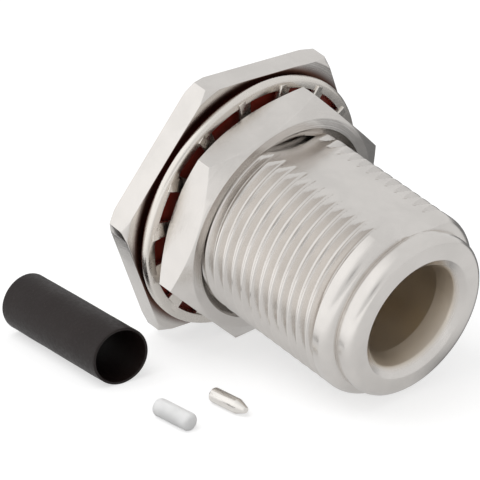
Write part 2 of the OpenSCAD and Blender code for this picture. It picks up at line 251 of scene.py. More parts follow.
class StudioSettings(bpy.types.PropertyGroup):
    """Camera, floor and lamps"""

    camera_place: FloatVectorProperty(
        name="Camera", description="Place of the camera", default=(0.219604, -0.197525, 0.134493),
        subtype="TRANSLATION", unit="LENGTH")
    camera_turn: FloatVectorProperty(
        name="Camera turn", description="Turn of the camera",
        default=(radians(64.8977), radians(0.7512), radians(47.7477)), subtype="EULER")
    camera_lens: FloatProperty(name="Lens", description="Focal length", default=306.3, unit="CAMERA")
    floor_tone: brightness("Floor tone", "Tone of the floor", 0.55)
    floor_lift: brightness("Floor lift", "How far the floor is lifted to white", 0.62)
    tent_tone: brightness("Tent tone", "Brightness of the light tent", 0.80)
    bright_tone: brightness("Bright tone", "Brightness of the tent's lit side", 1.14)
    bright_side: FloatVectorProperty(
        name="Bright side", description="Direction of the tent's lit side", default=(-0.52, -0.72, 0.46),
        subtype="DIRECTION")
    tent_light: brightness("Tent light", "Light that the tent gives to the pieces", 0.6)
    opening_tone: brightness("Opening tone", "Brightness of the opening for the camera", 0.45)
    opening: bearing("Opening", "Half width of the opening for the camera", 8)
    # Painted shadow on the floor, seen only in reflections
    table_seen: brightness("Table seen", "Share of the table's tone that metal mirrors", 0.70)
    table_edge: metres("Table edge", "Distance to the table's brighter part", 0.03)
    table_shade: brightness("Table shade", "Share of it left in the shade beside the jack", 0.24)
    shade_side: metres("Shade side", "Where that shade starts beside the axis", 0.003)
    shade_end: metres("Shade end", "Where that shade ends in front of the seat", 0.0195)
    floor_size: metres("Floor size", "Length of the floor's sides", 1.2)
    softbox: brightness("Softbox", "Power of the softbox", 1.1)
    softbox_size: metres("Softbox size", "Length of the softbox's sides", 0.35)
    softbox_place: FloatVectorProperty(
        name="Softbox place", description="Place of the softbox", default=(-0.05, -0.22, 0.5),
        subtype="TRANSLATION", unit="LENGTH")


# ---------------------------------------------------------------- mesh helpers


def jack_to_frame():
    """From the jack's own axis along +Z to where it lies in the frame."""
    sizes = bpy.context.scene.jack_sizes
    tilt = asin(-AXIS.z)
    return Matrix.Rotation(pi / 2 + tilt, 4, "Y") @ Matrix.Rotation(-sizes.roll, 4, "Z")


def ring_angles(steps):
    return [2 * pi * k / steps for k in range(steps)]


def rounded(profile, closed=False):
    """Turns (radius, height, fillet) points into (radius, height) points with rounded corners."""
    count = len(profile)
    result = []
    for k, (r, z, fillet) in enumerate(profile):
        here = Vector((r, z))
        if fillet <= 0 or (not closed and k in (0, count - 1)):
            result.append((r, z))
            continue
        before = Vector(profile[k - 1][:2]) - here
        after = Vector(profile[(k + 1) % count][:2]) - here
        bend = before.angle(after)
        reach = fillet / tan(bend / 2)
        limit = 0.49 * min(before.length, after.length)
        reach = min(reach, limit)
        radius = reach * tan(bend / 2)
        first = here + before.normalized() * reach
        last = here + after.normalized() * reach
        centre = here + (before.normalized() + after.normalized()).normalized() * (radius / sin(bend / 2))
        sweep = pi - bend
        pieces = max(2, ceil(sweep / radians(18)))
        start = first - centre
        side = 1 if start.cross(last - centre) > 0 else -1
        for j in range(pieces + 1):
            turn = side * sweep * j / pieces
            x = start.x * cos(turn) - start.y * sin(turn)
            y = start.x * sin(turn) + start.y * cos(turn)
            result.append((centre.x + x, centre.y + y))
    if closed:
        result.append(result[0])
    return result


def turn_profile(bm, profile, steps, shape=None):
    """Adds the surface that a (radius, height) profile sweeps about +Z. shape(r, angle, z) alters its radius."""
    angles = ring_angles(steps)
    rings = []
    for r, z in profile:
        if r < 1e-6:
            rings.append([bm.verts.new((0, 0, z))] * steps)
        else:
            radii = [shape(r, a, z) if shape else r for a in angles]
            rings.append([bm.verts.new((q * cos(a), q * sin(a), z)) for q, a in zip(radii, angles)])
    for low, high in zip(rings, rings[1:]):
        for k in range(steps):
            corners = [low[k], low[(k + 1) % steps], high[(k + 1) % steps], high[k]]
            distinct = [v for j, v in enumerate(corners) if v not in corners[:j]]
            if len(distinct) > 2:
                bm.faces.new(distinct)


def fill_between(bm, outer, inner):
    """Fills the flat face between two loops of points at one height."""
    points = outer + inner
    verts = [bm.verts.new(p) for p in points]
    for triangle in tessellate_polygon([[Vector(p) for p in outer], [Vector(p) for p in inner]]):
        bm.faces.new([verts[k] for k in triangle])


def circle_points(r, z, steps):
    return [(r * cos(a), r * sin(a), z) for a in ring_angles(steps)]


def add_hexagon(bm, flats, bottom, top, face_r, hole_bottom, hole_top, steps):
    """Adds a chamfered hexagon with a corner on +X. The faces end at round holes."""
    apothem = flats / 2
    slope = tan(radians(30))
    start = acos(min(1.0, apothem / face_r))
    arc = radians(30) - start if face_r > apothem else radians(30)
    angles = []
    for corner in range(6):
        base = corner * pi / 3
        pieces = 5 if face_r > apothem else 8
        offsets = [-arc + arc * k / pieces for k in range(pieces)] + [arc * k / pieces for k in range(pieces + 1)]
        if face_r <= apothem:
            offsets = offsets[:-1]
        angles += [base + offset for offset in offsets]
    edge_r = [apothem / cos((a % (pi / 3)) - pi / 6) for a in angles]
    count = len(angles)

    def place(r, a, z):
        return (r * cos(a), r * sin(a), z)

    faces = {}
    for name, level, sign in (("top", top, -1), ("bottom", bottom, 1)):
        inner = [place(min(face_r, r), a, level) for r, a in zip(edge_r, angles)]
        outer = [place(r, a, level + sign * max(0.0, r - face_r) * slope) for r, a in zip(edge_r, angles)]
        faces[name] = outer
        for k in range(count):
            n = (k + 1) % count
            ring = [inner[k], outer[k], outer[n], inner[n]]
            distinct = [p for j, p in enumerate(ring)
                        if all((Vector(p) - Vector(q)).length > 1e-5 for q in ring[:j])]
            if len(distinct) > 2:
                bm.faces.new([bm.verts.new(p) for p in distinct])
        hole = hole_top if name == "top" else hole_bottom
        fill_between(bm, inner, circle_points(hole, level, steps))
    for k in range(count):
        n = (k + 1) % count
        bm.faces.new([bm.verts.new(p) for p in
                      (faces["bottom"][k], faces["bottom"][n], faces["top"][n], faces["top"][k])])


def weld(bm):
    """Merges doubles and turns every face outwards."""
    bmesh.ops.remove_doubles(bm, verts=bm.verts, dist=2e-4)
    bmesh.ops.dissolve_degenerate(bm, edges=bm.edges, dist=1e-5)
    bmesh.ops.recalc_face_normals(bm, faces=bm.faces)


def round_edges(bm, width, keep, angle=20):
    """Rounds the sharp edges for which keep(edge) is true."""
    edges = [e for e in bm.edges if len(e.link_faces) == 2
             and degrees(e.calc_face_angle(0)) > angle and keep(e)]
    bmesh.ops.bevel(bm, geom=edges, offset=width, segments=2, profile=0.5, affect="EDGES", clamp_overlap=True)


def finished_piece(name, bm, material, nodes, body="root", place=None, sharp=38):
    """Makes an object of a mesh in millimetres, smooth up to the sharp angle, and rides it on its body."""
    mesh = bpy.data.meshes.new(name)
    bm.to_mesh(mesh)
    bm.free()
    mesh.transform((place or jack_to_frame()) @ Matrix.Scale(MM, 4))
    mesh.materials.clear()
    mesh.materials.append(finish(material))
    mesh.shade_smooth()
    mesh.set_sharp_from_angle(angle=radians(sharp))
    piece = bpy.data.objects.new(name, mesh)
    bpy.context.scene.collection.objects.link(piece)
    weighting = piece.modifiers.new("Weighted normals", "WEIGHTED_NORMAL")
    weighting.mode = "FACE_AREA"
    weighting.keep_sharp = True
    weighting.weight = 60
    bake_modifiers(piece)
    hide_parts(*nodes)
    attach(piece, body)


def turned_mesh(profile, steps, shape=None):
    """Turns a (radius, height, fillet) profile, which is closed unless it starts on the axis."""
    bm = bmesh.new()
    turn_profile(bm, rounded(profile, profile[0][0] > 0), steps, shape)
    weld(bm)
    return bm


def bake_modifiers(piece):
    """Replaces an object's mesh by what its modifiers make of it."""
    view = bpy.context.evaluated_depsgraph_get()
    view.update()
    result = bpy.data.meshes.new_from_object(piece.evaluated_get(view), preserve_all_data_layers=True, depsgraph=view)
    old = piece.data
    piece.modifiers.clear()
    piece.data = result
    result.name = piece.name
    bpy.data.meshes.remove(old)


# ---------------------------------------------------------------- node helpers


class Value:
    """A number in a node tree, to be reckoned with like any other."""

    def __init__(self, w, socket):
        self.w, self.socket = w, socket

    def __add__(self, other):
        return self.w.math("ADD", self, other)

    def __sub__(self, other):
        return self.w.math("SUBTRACT", self, other)

    def __rsub__(self, other):
        return self.w.math("SUBTRACT", other, self)

    def __mul__(self, other):
        return self.w.math("MULTIPLY", self, other)

    def __truediv__(self, other):
        return self.w.math("DIVIDE", self, other)


class Wiring:
    """Adds nodes to a tree and joins them up."""

    def __init__(self, tree):
        self.tree = tree

    def add(self, kind, outlet=0, settings=None, **inputs):
        """The outlet of a new node of the kind, its inputs set or joined by name or number."""
        node = self.tree.nodes.new(kind)
        for key, value in (settings or {}).items():
            setattr(node, key, value)
        for key, value in inputs.items():
            self.set(node.inputs[int(key[1:])] if key[0] == "_" else node.inputs[key.replace("_", " ")], value)
        return node.outputs[outlet]

    def set(self, socket, value):
        value = value.socket if isinstance(value, Value) else value
        if isinstance(value, bpy.types.NodeSocket):
            self.tree.links.new(value, socket)
        else:
            socket.default_value = value

    def math(self, operation, *values):
        return Value(self, self.add("ShaderNodeMath", settings={"operation": operation},
                                    **{f"_{k}": value for k, value in enumerate(values)}))

    def dot(self, first, second):
        return Value(self, self.add("ShaderNodeVectorMath", outlet=1, settings={"operation": "DOT_PRODUCT"},
                                    _0=first, _1=second))

    def ramp(self, value, low, high, at_low=0.0, at_high=1.0, kind="SMOOTHSTEP"):
        """Maps a value from one range to another."""
        return Value(self, self.add("ShaderNodeMapRange", settings={"interpolation_type": kind}, Value=value,
                                    From_Min=low, From_Max=high, To_Min=at_low, To_Max=at_high))

    def blend(self, share, first, second):
        """Mixes two colours by a share."""
        return self.add("ShaderNodeMix", outlet=2, settings={"data_type": "RGBA"}, _0=share, _6=first, _7=second)

    def given(self, kind, vector=None):
        """The outlets of a node of the kind by name, as numbers."""
        node = self.tree.nodes.new(kind)
        if vector:
            self.set(node.inputs[0], vector)
        return {outlet.name: Value(self, outlet) for outlet in node.outputs if outlet.name}

    def finish(self, kind, inlet, outlet):
        """Joins the outlet to the tree's output node."""
        self.set(self.tree.nodes.new(kind).inputs[inlet], outlet)


def new_geometry_tree(name, inputs):
    """A Geometry Nodes tree with named inputs, given as (name, socket type, default)."""
    tree = bpy.data.node_groups.new(name, "GeometryNodeTree")
    tree.interface.new_socket(name="Geometry", in_out="OUTPUT", socket_type="NodeSocketGeometry")
    identifiers = {}
    for label, kind, value in inputs:
        socket = tree.interface.new_socket(name=label, in_out="INPUT", socket_type=kind)
        if value is not None:
            socket.default_value = value
        identifiers[label] = socket.identifier
    return tree, identifiers


def thread_tree():
    """A tube with a helical thread between two heights, its grooves fading out at both ends."""
    number, whole = "NodeSocketFloat", "NodeSocketInt"
    tree, names = new_geometry_tree("Helical thread", [
        ("Start", number, 0.0), ("End", number, 10.0), ("Pitch", number, PITCH), ("Shift", number, 0.0),
        ("Crest Radius", number, 8.0), ("Root Radius", number, 7.4), ("Fade", number, 0.5),
        ("Soften", number, 0.02), ("Flat Distance", number, 100.0), ("Flat Turn", number, 0.0),
        ("Steps", whole, 288), ("Material", "NodeSocketMaterial", None)])
    w = Wiring(tree)
    given = w.given("NodeGroupInput")
    start, end, pitch, crest = given["Start"], given["End"], given["Pitch"], given["Crest Radius"]
    turns = w.math("CEIL", (end - start) / pitch) + 2
    grid = w.add("GeometryNodeMeshGrid", Size_X=1.0, Size_Y=1.0, Vertices_X=given["Steps"] + 1,
                 Vertices_Y=turns * ROWS_PER_TURN + 1)
    place = w.given("ShaderNodeSeparateXYZ", w.add("GeometryNodeInputPosition"))
    across, along = place["X"] + 0.5, place["Y"] + 0.5
    angle = across * (2 * pi)
    advance = across * pitch + given["Shift"]
    low = start - pitch * 2
    height = Value(w, w.add("ShaderNodeClamp", Value=low + along * (turns * pitch) + advance, Min=start, Max=end))
    phase = w.math("FRACT", (height - low - advance) / pitch)
    # Distance from the middle of the crest, from 0 to half a pitch
    off_crest = w.math("ABSOLUTE", w.math("FRACT", phase + 0.5) - 0.5)
    flank = w.ramp(off_crest, CREST_SHARE, ROOT_SHARE, 1.0, 0.0, "LINEAR")
    crown = w.math("MINIMUM", off_crest, CREST_SHARE) * (1 / CREST_SHARE) * given["Soften"]
    groove = (1 - flank) * (crest - given["Root Radius"]) + crown
    run_out = w.math("MINIMUM", (end - height) / given["Fade"], (height - start) / given["Fade"])
    threaded = crest - groove * w.math("MINIMUM", run_out, 1)
    facing = w.math("MAXIMUM", w.math("COSINE", angle - given["Flat Turn"]), 0.05)
    radius = w.math("MINIMUM", threaded, given["Flat Distance"] / facing)
    spot = w.add("ShaderNodeCombineXYZ", X=radius * w.math("COSINE", angle), Y=radius * w.math("SINE", angle),
                 Z=height)
    bent = w.add("GeometryNodeSetPosition", Geometry=grid, Position=spot)
    merged = w.add("GeometryNodeMergeByDistance", Geometry=bent, Distance=2e-4)
    close_geometry(w, merged, given["Material"])
    return tree, names


def close_geometry(w, geometry, material):
    """Makes real meshes of a tree's geometry and gives them their material."""
    solid = w.add("GeometryNodeRealizeInstances", Geometry=geometry)
    dressed = w.add("GeometryNodeSetMaterial", Geometry=solid, Material=material)
    w.finish("NodeGroupOutput", "Geometry", dressed)


def grown_mesh(tree, names, values, base=None):
    """The plain mesh that a Geometry Nodes tree makes with these inputs."""
    mesh = base or bpy.data.meshes.new("growing")
    carrier = bpy.data.objects.new("growing", mesh)
    bpy.context.scene.collection.objects.link(carrier)
    modifier = carrier.modifiers.new("Nodes", "NODES")
    modifier.node_group = tree
    for label, value in values.items():
        modifier[names[label]] = value
    view = bpy.context.evaluated_depsgraph_get()
    view.update()
    result = bpy.data.meshes.new_from_object(carrier.evaluated_get(view), depsgraph=view)
    bpy.data.objects.remove(carrier)
    bpy.data.meshes.remove(mesh)
    return result


def add_thread(bm, start, end, crest, root, shift, fade, soften, steps, material, flat=(100.0, 0.0)):
    """Adds a helical thread, for the barrel or a nut. Its flat is given by distance and turn."""
    tree, names = thread_tree()
    result = grown_mesh(tree, names, {
        "Start": start, "End": end, "Pitch": PITCH, "Shift": shift, "Crest Radius": crest, "Root Radius": root,
        "Fade": fade, "Soften": soften, "Flat Distance": flat[0], "Flat Turn": flat[1], "Steps": steps,
        "Material": material})
    bpy.data.node_groups.remove(tree)
    bm.from_mesh(result)
    bpy.data.meshes.remove(result)
    weld(bm)


def thread_shift(turned=0.0):
    """Axial shift of the thread at angle 0, for a piece whose own angle 0 is turned from the flange's."""
    sizes = bpy.context.scene.jack_sizes
    return (sizes.crest_height - PITCH * (sizes.crest_turn - turned) / (2 * pi)) % PITCH


# ---------------------------------------------------------------- finishes


MARKS_PER_MM = 9.0
METAL_EDGE, PLASTIC_EDGE, CREVICE_SHADE_REACH = 0.00009, 0.00008, 0.0004
PALE_EDGE = (0.90, 0.88, 0.85, 1.0)
# Brown of the painted shade in hollows
CREVICE_SHADE = (0.24, 0.18, 0.13, 1.0)
# Dark brown of the painted shade and reflection on the flange seat
PAINTED_SEAT_SHADE = (0.11, 0.050, 0.035, 1.0)
# Browner, darker colour inside the bore
BORE_TINT = (0.66, 0.59, 0.50, 1.0)


def new_material(name):
    material = bpy.data.materials.new(name)
    material.use_nodes = True
    material.node_tree.nodes.clear()
    return material, Wiring(material.node_tree)


def jack_coordinates(w):
    """A piece's own coordinates in millimetres along the jack's axis, with its distance from that axis."""
    turned = jack_to_frame().to_3x3().inverted().to_euler()
    own = w.add("ShaderNodeMapping", Vector=w.add("ShaderNodeTexCoord", outlet=3), Rotation=tuple(turned),
                Scale=(1 / MM, 1 / MM, 1 / MM))
    place = w.given("ShaderNodeSeparateXYZ", own)
    around = w.math("SQRT", w.math("POWER", place["X"], 2) + w.math("POWER", place["Y"], 2))
    return own, around, place["Z"]


def noise_pattern(w, place, scale, detail, roughness):
    return Value(w, w.add("ShaderNodeTexNoise", Vector=place, Scale=scale, Detail=detail, Roughness=roughness))


def worn_edges(w, width):
    """How close the surface is to an edge, from 0 to 1."""
    soft = w.add("ShaderNodeBevel", settings={"samples": 4}, Radius=width)
    return w.ramp(w.dot(soft, w.add("ShaderNodeNewGeometry", outlet=1)), 0.995, 0.93)


def toned(w, tint, pattern, low, high):
    """A colour that a pattern makes darker and paler."""
    return w.add("ShaderNodeVectorMath", settings={"operation": "SCALE"}, _0=tuple(tint),
                 Scale=w.ramp(pattern, 0.3, 0.7, low, high))


def turned_metal(name, tint, roughness, marks, scale=1.0, seat=False):
    """Plated metal with turning marks, stains, scuffs, worn edges and painted shade in its corners."""
    material, w = new_material(name)
    own, around, along = jack_coordinates(w)
    fine = MARKS_PER_MM * scale
    turning = noise_pattern(w, w.add("ShaderNodeCombineXYZ", X=around * fine, Y=along * fine), 1.0, 3.0, 0.6)
    stains = noise_pattern(w, own, 0.35, 4.0, 0.6)
    scuffs = noise_pattern(w, own, 6.0, 5.0, 0.7)
    edge = worn_edges(w, METAL_EDGE) * w.ramp(scuffs, 0.35, 0.6)
    # Painted shade: hollows found by ambient occlusion turn brown, more strongly where the stains are heavier
    corner = w.add("ShaderNodeAmbientOcclusion", outlet=1, settings={"samples": 4}, Distance=CREVICE_SHADE_REACH)
    crevice_shade = w.ramp(corner, 0.75, 0.2) * w.ramp(stains, 0.2, 0.8, 0.35, 0.75)
    rough = w.ramp(stains, 0.3, 0.7, roughness * 0.8, roughness * 1.25) + (scuffs - 0.5) * 0.10
    rough = rough + (crevice_shade * 0.2 - edge * 0.06)
    shade = w.blend(edge * 0.5, toned(w, tint, stains, 0.95, 1.03), PALE_EDGE)
    if seat:
        crevice_shade = crevice_shade * w.ramp(around, 4.3, 6.0)
    shade = w.blend(crevice_shade, shade, CREVICE_SHADE)
    if seat:
        # Painted shade and a painted reflection of the gasket, as a dark brown band on the seat beside the washer.
        # Inside the bore the colour turns browner and darker.
        seat_shade = w.ramp(around, 11.95, 11.1) * w.ramp(w.math("ABSOLUTE", along), 0.06, 0.02)
        seat_shade = seat_shade * w.ramp(around, 8.0, 8.2)
        bore = w.ramp(around, 4.9, 4.3)
        shade = w.blend(bore, w.blend(seat_shade, shade, PAINTED_SEAT_SHADE), BORE_TINT)
        rough = rough + (bore * 0.28 + seat_shade * 0.15)
    bump = w.add("ShaderNodeBump", Strength=marks, Distance=0.00002, Height=turning)
    bump = w.add("ShaderNodeBump", Strength=marks * 0.6, Distance=0.00001, Height=scuffs, Normal=bump)
    shader = w.add("ShaderNodeBsdfPrincipled", Base_Color=shade, Metallic=1.0, Roughness=rough, Normal=bump)
    w.finish("ShaderNodeOutputMaterial", "Surface", shader)
    return material


def soft_plastic(name, tint, roughness, grain, grain_scale, specks=0.0, subsurface=0.0):
    """Rubber or plastic with a fine grain, pale specks, rubbed edges and slight unevenness of tone."""
    material, w = new_material(name)
    place = w.add("ShaderNodeTexCoord", outlet=3)
    grains = noise_pattern(w, place, grain_scale, 5.0, 0.65)
    clouds = noise_pattern(w, place, 260.0, 3.0, 0.5)
    dust = w.ramp(grains, 0.58, 0.72) * specks + worn_edges(w, PLASTIC_EDGE) * specks
    pale = tuple(min(1.0, 0.12 + 2.0 * c) for c in tint) + (1.0,)
    bump = w.add("ShaderNodeBump", Strength=grain, Distance=0.00004, Height=grains)
    shader = w.add("ShaderNodeBsdfPrincipled", Base_Color=w.blend(dust, toned(w, tint, clouds, 0.88, 1.12), pale),
                   Roughness=w.ramp(grains, 0.3, 0.7, roughness * 0.85, min(1.0, roughness * 1.15)),
                   Specular_IOR_Level=0.3, Subsurface_Weight=subsurface, Normal=bump)
    shader.node.inputs["Subsurface Radius"].default_value = (1.0, 1.0, 1.0)
    shader.node.inputs["Subsurface Scale"].default_value = 0.0006
    w.finish("ShaderNodeOutputMaterial", "Surface", shader)
    return material


FINISHES = {}


def finish(name):
    """The named finish, made once."""
    if name not in FINISHES:
        colours = bpy.context.scene.jack_colours
        maker, label, tint, *rest = {
            "nickel": (turned_metal, "nickel plate", colours.nickel, 0.19, 0.35, 1.0, True),
            "plain nickel": (turned_metal, "ferrule nickel plate", colours.nickel, 0.26, 0.4),
            "nut nickel": (turned_metal, "nut nickel plate", colours.nickel, 0.20, 0.6, 1.3),
            "washer nickel": (turned_metal, "washer nickel plate", colours.washer, 0.26, 0.2),
            "gold": (turned_metal, "gold plate", colours.gold, 0.16, 0.2),
            "pin plate": (turned_metal, "pin plate", colours.pin, 0.20, 0.3),
            "gasket": (soft_plastic, "gasket silicone", colours.gasket, 0.42, 0.25, 2400.0, 0.08),
            "bead": (soft_plastic, "bead plastic", colours.bead, 0.38, 0.12, 1800.0, 0.1, 0.6),
            "white": (soft_plastic, "white insulator", colours.white, 0.42, 0.15, 1800.0, 0.0, 0.4),
            "sleeve": (soft_plastic, "sleeve", colours.sleeve, 0.46, 0.5, 3200.0, 0.12),
        }[name]
        FINISHES[name] = maker(label, tint, *rest)
    return FINISHES[name]


# ---------------------------------------------------------------- operators


class JACK_OT_body(bpy.types.Operator):
    """Builds the flange, the threaded barrel and the nose as one turned piece"""

    bl_idname = "jack.body"
    bl_label = "Connector body"

    def execute(self, context):
        s = context.scene.jack_sizes
        bm = bmesh.new()
        add_hexagon(bm, s.flange_flats, -s.flange_thickness, 0.0, s.flange_face, s.chamber_r, BARREL_R, s.steps)
        weld(bm)
        round_edges(bm, s.edge, lambda e: min(hypot(*v.co.xy) for v in e.verts) > BARREL_R + 1)
        core = BARREL_R - s.barrel_round
        end_angle = acos((s.nose_r - core) / s.barrel_round)

        def milled(r, angle, z):
            facing = cos(angle - s.flat_turn)
            return min(r, s.flat_distance / facing) if facing > 0.2 and r > s.socket_r + 1 else r

        def ledge(r, angle, z):
            return r if z > 0 else milled(r, angle, z)

        turn_profile(bm, [(BARREL_R, 1e-7), (BARREL_R, 0.0)], s.steps, ledge)
        turn_profile(bm, [(BARREL_R, 0.0), (BARREL_R, s.thread_start)], s.steps, milled)
        front = [(BARREL_R, s.thread_end, 0), (BARREL_R, s.barrel_length, 0)]
        front += [(core + s.barrel_round * cos(end_angle * k / 8),
                   s.barrel_length + s.barrel_round * sin(end_angle * k / 8), 0) for k in range(1, 9)]
        shoulder = front[-1][1]
        groove_r, groove_end = s.nose_r - s.groove_depth, shoulder + s.groove_width
        front += [(groove_r, shoulder + 0.02, 0.02), (groove_r, groove_end - s.groove_depth, 0.02),
                  (s.nose_r, groove_end, 0.02)]
        front += [(s.nose_r, s.nose_front, s.nose_round)]
        front += [(s.flare_r, s.nose_front, 0.12), (s.mouth_r, s.nose_front - s.flare_length, 0.5),
                  (s.socket_r, s.nose_front - s.flare_length - s.taper_length, 0.3), (s.socket_r, s.socket_floor, 0),
                  (s.line_r, s.socket_floor, 0.03), (s.line_r, s.chamber_step, 0.03),
                  (s.chamber_r, s.chamber_step, 0.03), (s.chamber_r, -s.flange_thickness, 0)]
        turn_profile(bm, rounded(front), s.steps, milled)
        add_thread(bm, s.thread_start, s.thread_end, BARREL_R, s.root_r, thread_shift(), s.thread_fade,
                   s.crest_soften, s.steps, finish("nickel"), (s.flat_distance, s.flat_turn))
        finished_piece("threaded_body", bm, "nickel", ["connector_body"], sharp=24)
        return {"FINISHED"}


class JACK_OT_nut(bpy.types.Operator):
    """Builds the chamfered nut with its helical thread"""

    bl_idname = "jack.nut"
    bl_label = "Nut"

    def execute(self, context):
        s, n = context.scene.jack_sizes, context.scene.jack_nut
        top = n.nut_bottom + n.nut_thickness
        hole = BARREL_R + n.nut_play
        mouth = hole + n.nut_sink
        bm = bmesh.new()
        add_hexagon(bm, n.nut_flats, n.nut_bottom, top, n.nut_face, mouth, mouth, s.steps)
        weld(bm)
        round_edges(bm, s.edge, lambda e: min(hypot(*v.co.xy) for v in e.verts) > mouth + 0.3)
        turn_profile(bm, [(mouth, n.nut_bottom), (hole, n.nut_bottom + n.nut_sink)], s.steps)
        turn_profile(bm, [(hole, top - n.nut_sink), (mouth, top)], s.steps)
        add_thread(bm, n.nut_bottom + n.nut_sink, top - n.nut_sink, hole, s.root_r + n.nut_root_play,
                   thread_shift(n.nut_clock), n.nut_fade, 0.0, s.steps, finish("nut nickel"))
        finished_piece("threaded_nut", bm, "nut nickel", ["hex_nut"], body="nut",
                       place=jack_to_frame() @ Matrix.Rotation(n.nut_clock, 4, "Z"))
        return {"FINISHED"}


def ring_tree(name, operation):
    """Copies of a tooth instanced round a ring, and joined to it or cut from it as one solid."""
    number, whole = "NodeSocketFloat", "NodeSocketInt"
    tree, names = new_geometry_tree(name, [
        ("Ring", "NodeSocketGeometry", None), ("Tooth", "NodeSocketObject", None), ("Count", whole, 15),
        ("Height", number, 0.8), ("Material", "NodeSocketMaterial", None)])
    w = Wiring(tree)
    given = w.given("NodeGroupInput")
    tooth = w.add("GeometryNodeObjectInfo", outlet=4, Object=given["Tooth"])
    spots = w.add("GeometryNodeMeshLine", settings={"mode": "OFFSET"}, Count=given["Count"], Offset=(0, 0, 0))
    lifted = w.add("GeometryNodeSetPosition", Geometry=spots,
                   Offset=w.add("ShaderNodeCombineXYZ", Z=given["Height"]))
    step = Value(w, w.add("GeometryNodeInputIndex")) * (2 * pi) / given["Count"]
    teeth = w.add("GeometryNodeInstanceOnPoints", Points=lifted, Instance=tooth,
                  Rotation=w.add("ShaderNodeCombineXYZ", Z=step))
    joined = tree.nodes.new("GeometryNodeMeshBoolean")
    joined.operation = operation
    joined.solver = "EXACT"
    w.set(joined.inputs["Mesh 2" if operation == "UNION" else "Mesh 1"], given["Ring"])
    w.set(joined.inputs["Mesh 2"], w.add("GeometryNodeRealizeInstances", Geometry=teeth))
    close_geometry(w, joined.outputs["Mesh"], given["Material"])
    return tree, names


def patterned(ring, tooth, count, height, operation, material):
    """Joins copies of a tooth to a ring, or cuts them from it, and gives the result back in its place."""
    ring_mesh, tooth_mesh = bpy.data.meshes.new("ring"), bpy.data.meshes.new("tooth")
    for bm, mesh in ((ring, ring_mesh), (tooth, tooth_mesh)):
        bm.to_mesh(mesh)
        bm.free()
    pattern = bpy.data.objects.new("tooth", tooth_mesh)
    bpy.context.scene.collection.objects.link(pattern)
    tree, names = ring_tree("Ring of teeth", operation)
    before = len(ring_mesh.polygons)
    result = grown_mesh(tree, names, {
        "Tooth": pattern, "Count": count, "Height": height, "Material": finish(material)}, base=ring_mesh)
    bpy.data.node_groups.remove(tree)
    bpy.data.objects.remove(pattern)
    bpy.data.meshes.remove(tooth_mesh)
    bm = bmesh.new()
    bm.from_mesh(result)
    bpy.data.meshes.remove(result)
    bmesh.ops.remove_doubles(bm, verts=bm.verts, dist=1e-4)
    bmesh.ops.recalc_face_normals(bm, faces=bm.faces)
    if len(bm.faces) == before or len(bm.faces) < 500:
        raise RuntimeError("the pattern did not reach its ring")
    return bm


class JACK_OT_washer(bpy.types.Operator):
    """Builds the toothed lock washer"""

    bl_idname = "jack.washer"
    bl_label = "Lock washer"

    def execute(self, context):
        s, n = context.scene.jack_sizes, context.scene.jack_nut
        inner = n.washer_r - n.washer_ring
        top = n.washer_bottom + n.washer_thickness
        ring = turned_mesh([(inner, n.washer_bottom, 0.05), (n.washer_r, n.washer_bottom, n.washer_round),
                            (n.washer_r, top, n.washer_round), (inner, top, 0.05)], s.steps)
        tooth = bmesh.new()
        reach = inner + n.washer_ring / 2
        half = n.tooth_thickness / 2
        bmesh.ops.create_cube(tooth, size=2)
        for vert in tooth.verts:
            outer = vert.co.x > 0
            vert.co = Vector((reach if outer else n.tooth_tip_r,
                              vert.co.y * (n.tooth_root if outer else n.tooth_tip) / 2, vert.co.z * half))
        bmesh.ops.bevel(tooth, geom=list(tooth.edges), offset=0.05, segments=2, profile=0.5, affect="EDGES")
        bmesh.ops.transform(tooth, matrix=Matrix.Rotation(n.tooth_twist, 4, "X"), verts=tooth.verts)
        bm = patterned(ring, tooth, n.tooth_count, (n.washer_bottom + n.nut_bottom) / 2, "UNION", "washer nickel")
        finished_piece("toothed_washer", bm, "washer nickel", ["lock_washer"], body="washer")
        return {"FINISHED"}


class JACK_OT_gasket(bpy.types.Operator):
    """Builds the rubber gasket"""

    bl_idname = "jack.gasket"
    bl_label = "Gasket"

    def execute(self, context):
        s, n = context.scene.jack_sizes, context.scene.jack_nut
        profile = [(n.gasket_hole, 0.0, 0.06), (n.gasket_r, 0.0, 0.1), (n.gasket_r, n.washer_bottom, 0.1),
                   (n.gasket_hole, n.washer_bottom, 0.06)]
        finished_piece("silicone_gasket", turned_mesh(profile, s.steps), "gasket", ["panel_gasket"])
        return {"FINISHED"}


